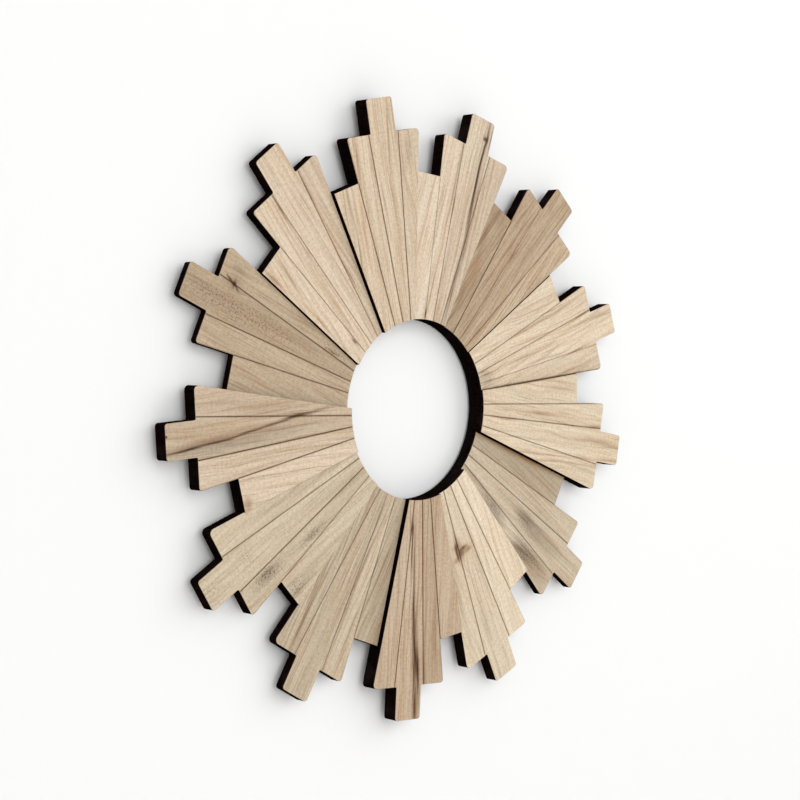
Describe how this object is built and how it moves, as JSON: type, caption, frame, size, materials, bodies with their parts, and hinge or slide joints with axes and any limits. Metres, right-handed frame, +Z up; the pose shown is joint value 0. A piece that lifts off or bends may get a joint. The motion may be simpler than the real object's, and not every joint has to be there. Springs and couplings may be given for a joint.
{
  "type": "sunburst wall ornament",
  "caption": "Flat wooden sunburst for a wall: stepped rays of pale scored wood with black edges, set at different depths round an open round centre.",
  "frame": {"origin": "centre of the round opening, on the surface of the wall that the bumpers rest against", "axes": "+Z up, the front faces -Y, +Y goes into the wall, +X to the right as seen from the front"},
  "size_m": [0.6074, 0.0245, 0.6073],
  "materials": {
    "ray_01_face": "matt",
    "ray_02_face": "matt",
    "ray_03_face": "matt",
    "ray_04_face": "matt",
    "ray_05_face": "matt",
    "ray_06_face": "matt",
    "ray_07_face": "matt",
    "ray_08_face": "matt",
    "ray_09_face": "matt",
    "ray_10_face": "matt",
    "ray_11_face": "matt",
    "ray_12_face": "matt",
    "ray_13_face": "matt",
    "ray_edge": "matt black edge and back",
    "ring_board": "matt black paint on board",
    "screw_steel": "zinc plated",
    "hanger_steel": "zinc plated",
    "bumper_rubber": "matt"
  },
  "bodies": {
    "root": {"ray_01_core": "ray_edge", "ray_01_veneer": "ray_01_face", "ray_02_core": "ray_edge", "ray_02_veneer": "ray_02_face", "ray_03_core": "ray_edge", "ray_03_veneer": "ray_03_face", "ray_04_core": "ray_edge", "ray_04_veneer": "ray_04_face", "ray_05_core": "ray_edge", "ray_05_veneer": "ray_05_face", "ray_06_core": "ray_edge", "ray_06_veneer": "ray_06_face", "ray_07_core": "ray_edge", "ray_07_veneer": "ray_07_face", "ray_08_core": "ray_edge", "ray_08_veneer": "ray_08_face", "ray_09_core": "ray_edge", "ray_09_veneer": "ray_09_face", "ray_10_core": "ray_edge", "ray_10_veneer": "ray_10_face", "ray_11_core": "ray_edge", "ray_11_veneer": "ray_11_face", "ray_12_core": "ray_edge", "ray_12_veneer": "ray_12_face", "ray_13_core": "ray_edge", "ray_13_veneer": "ray_13_face", "backing_ring": "ring_board", "ray_screws": "screw_steel", "sawtooth_hanger": "hanger_steel", "hanger_screws": "screw_steel", "wall_bumpers": "bumper_rubber"}
  },
  "joints": []
}
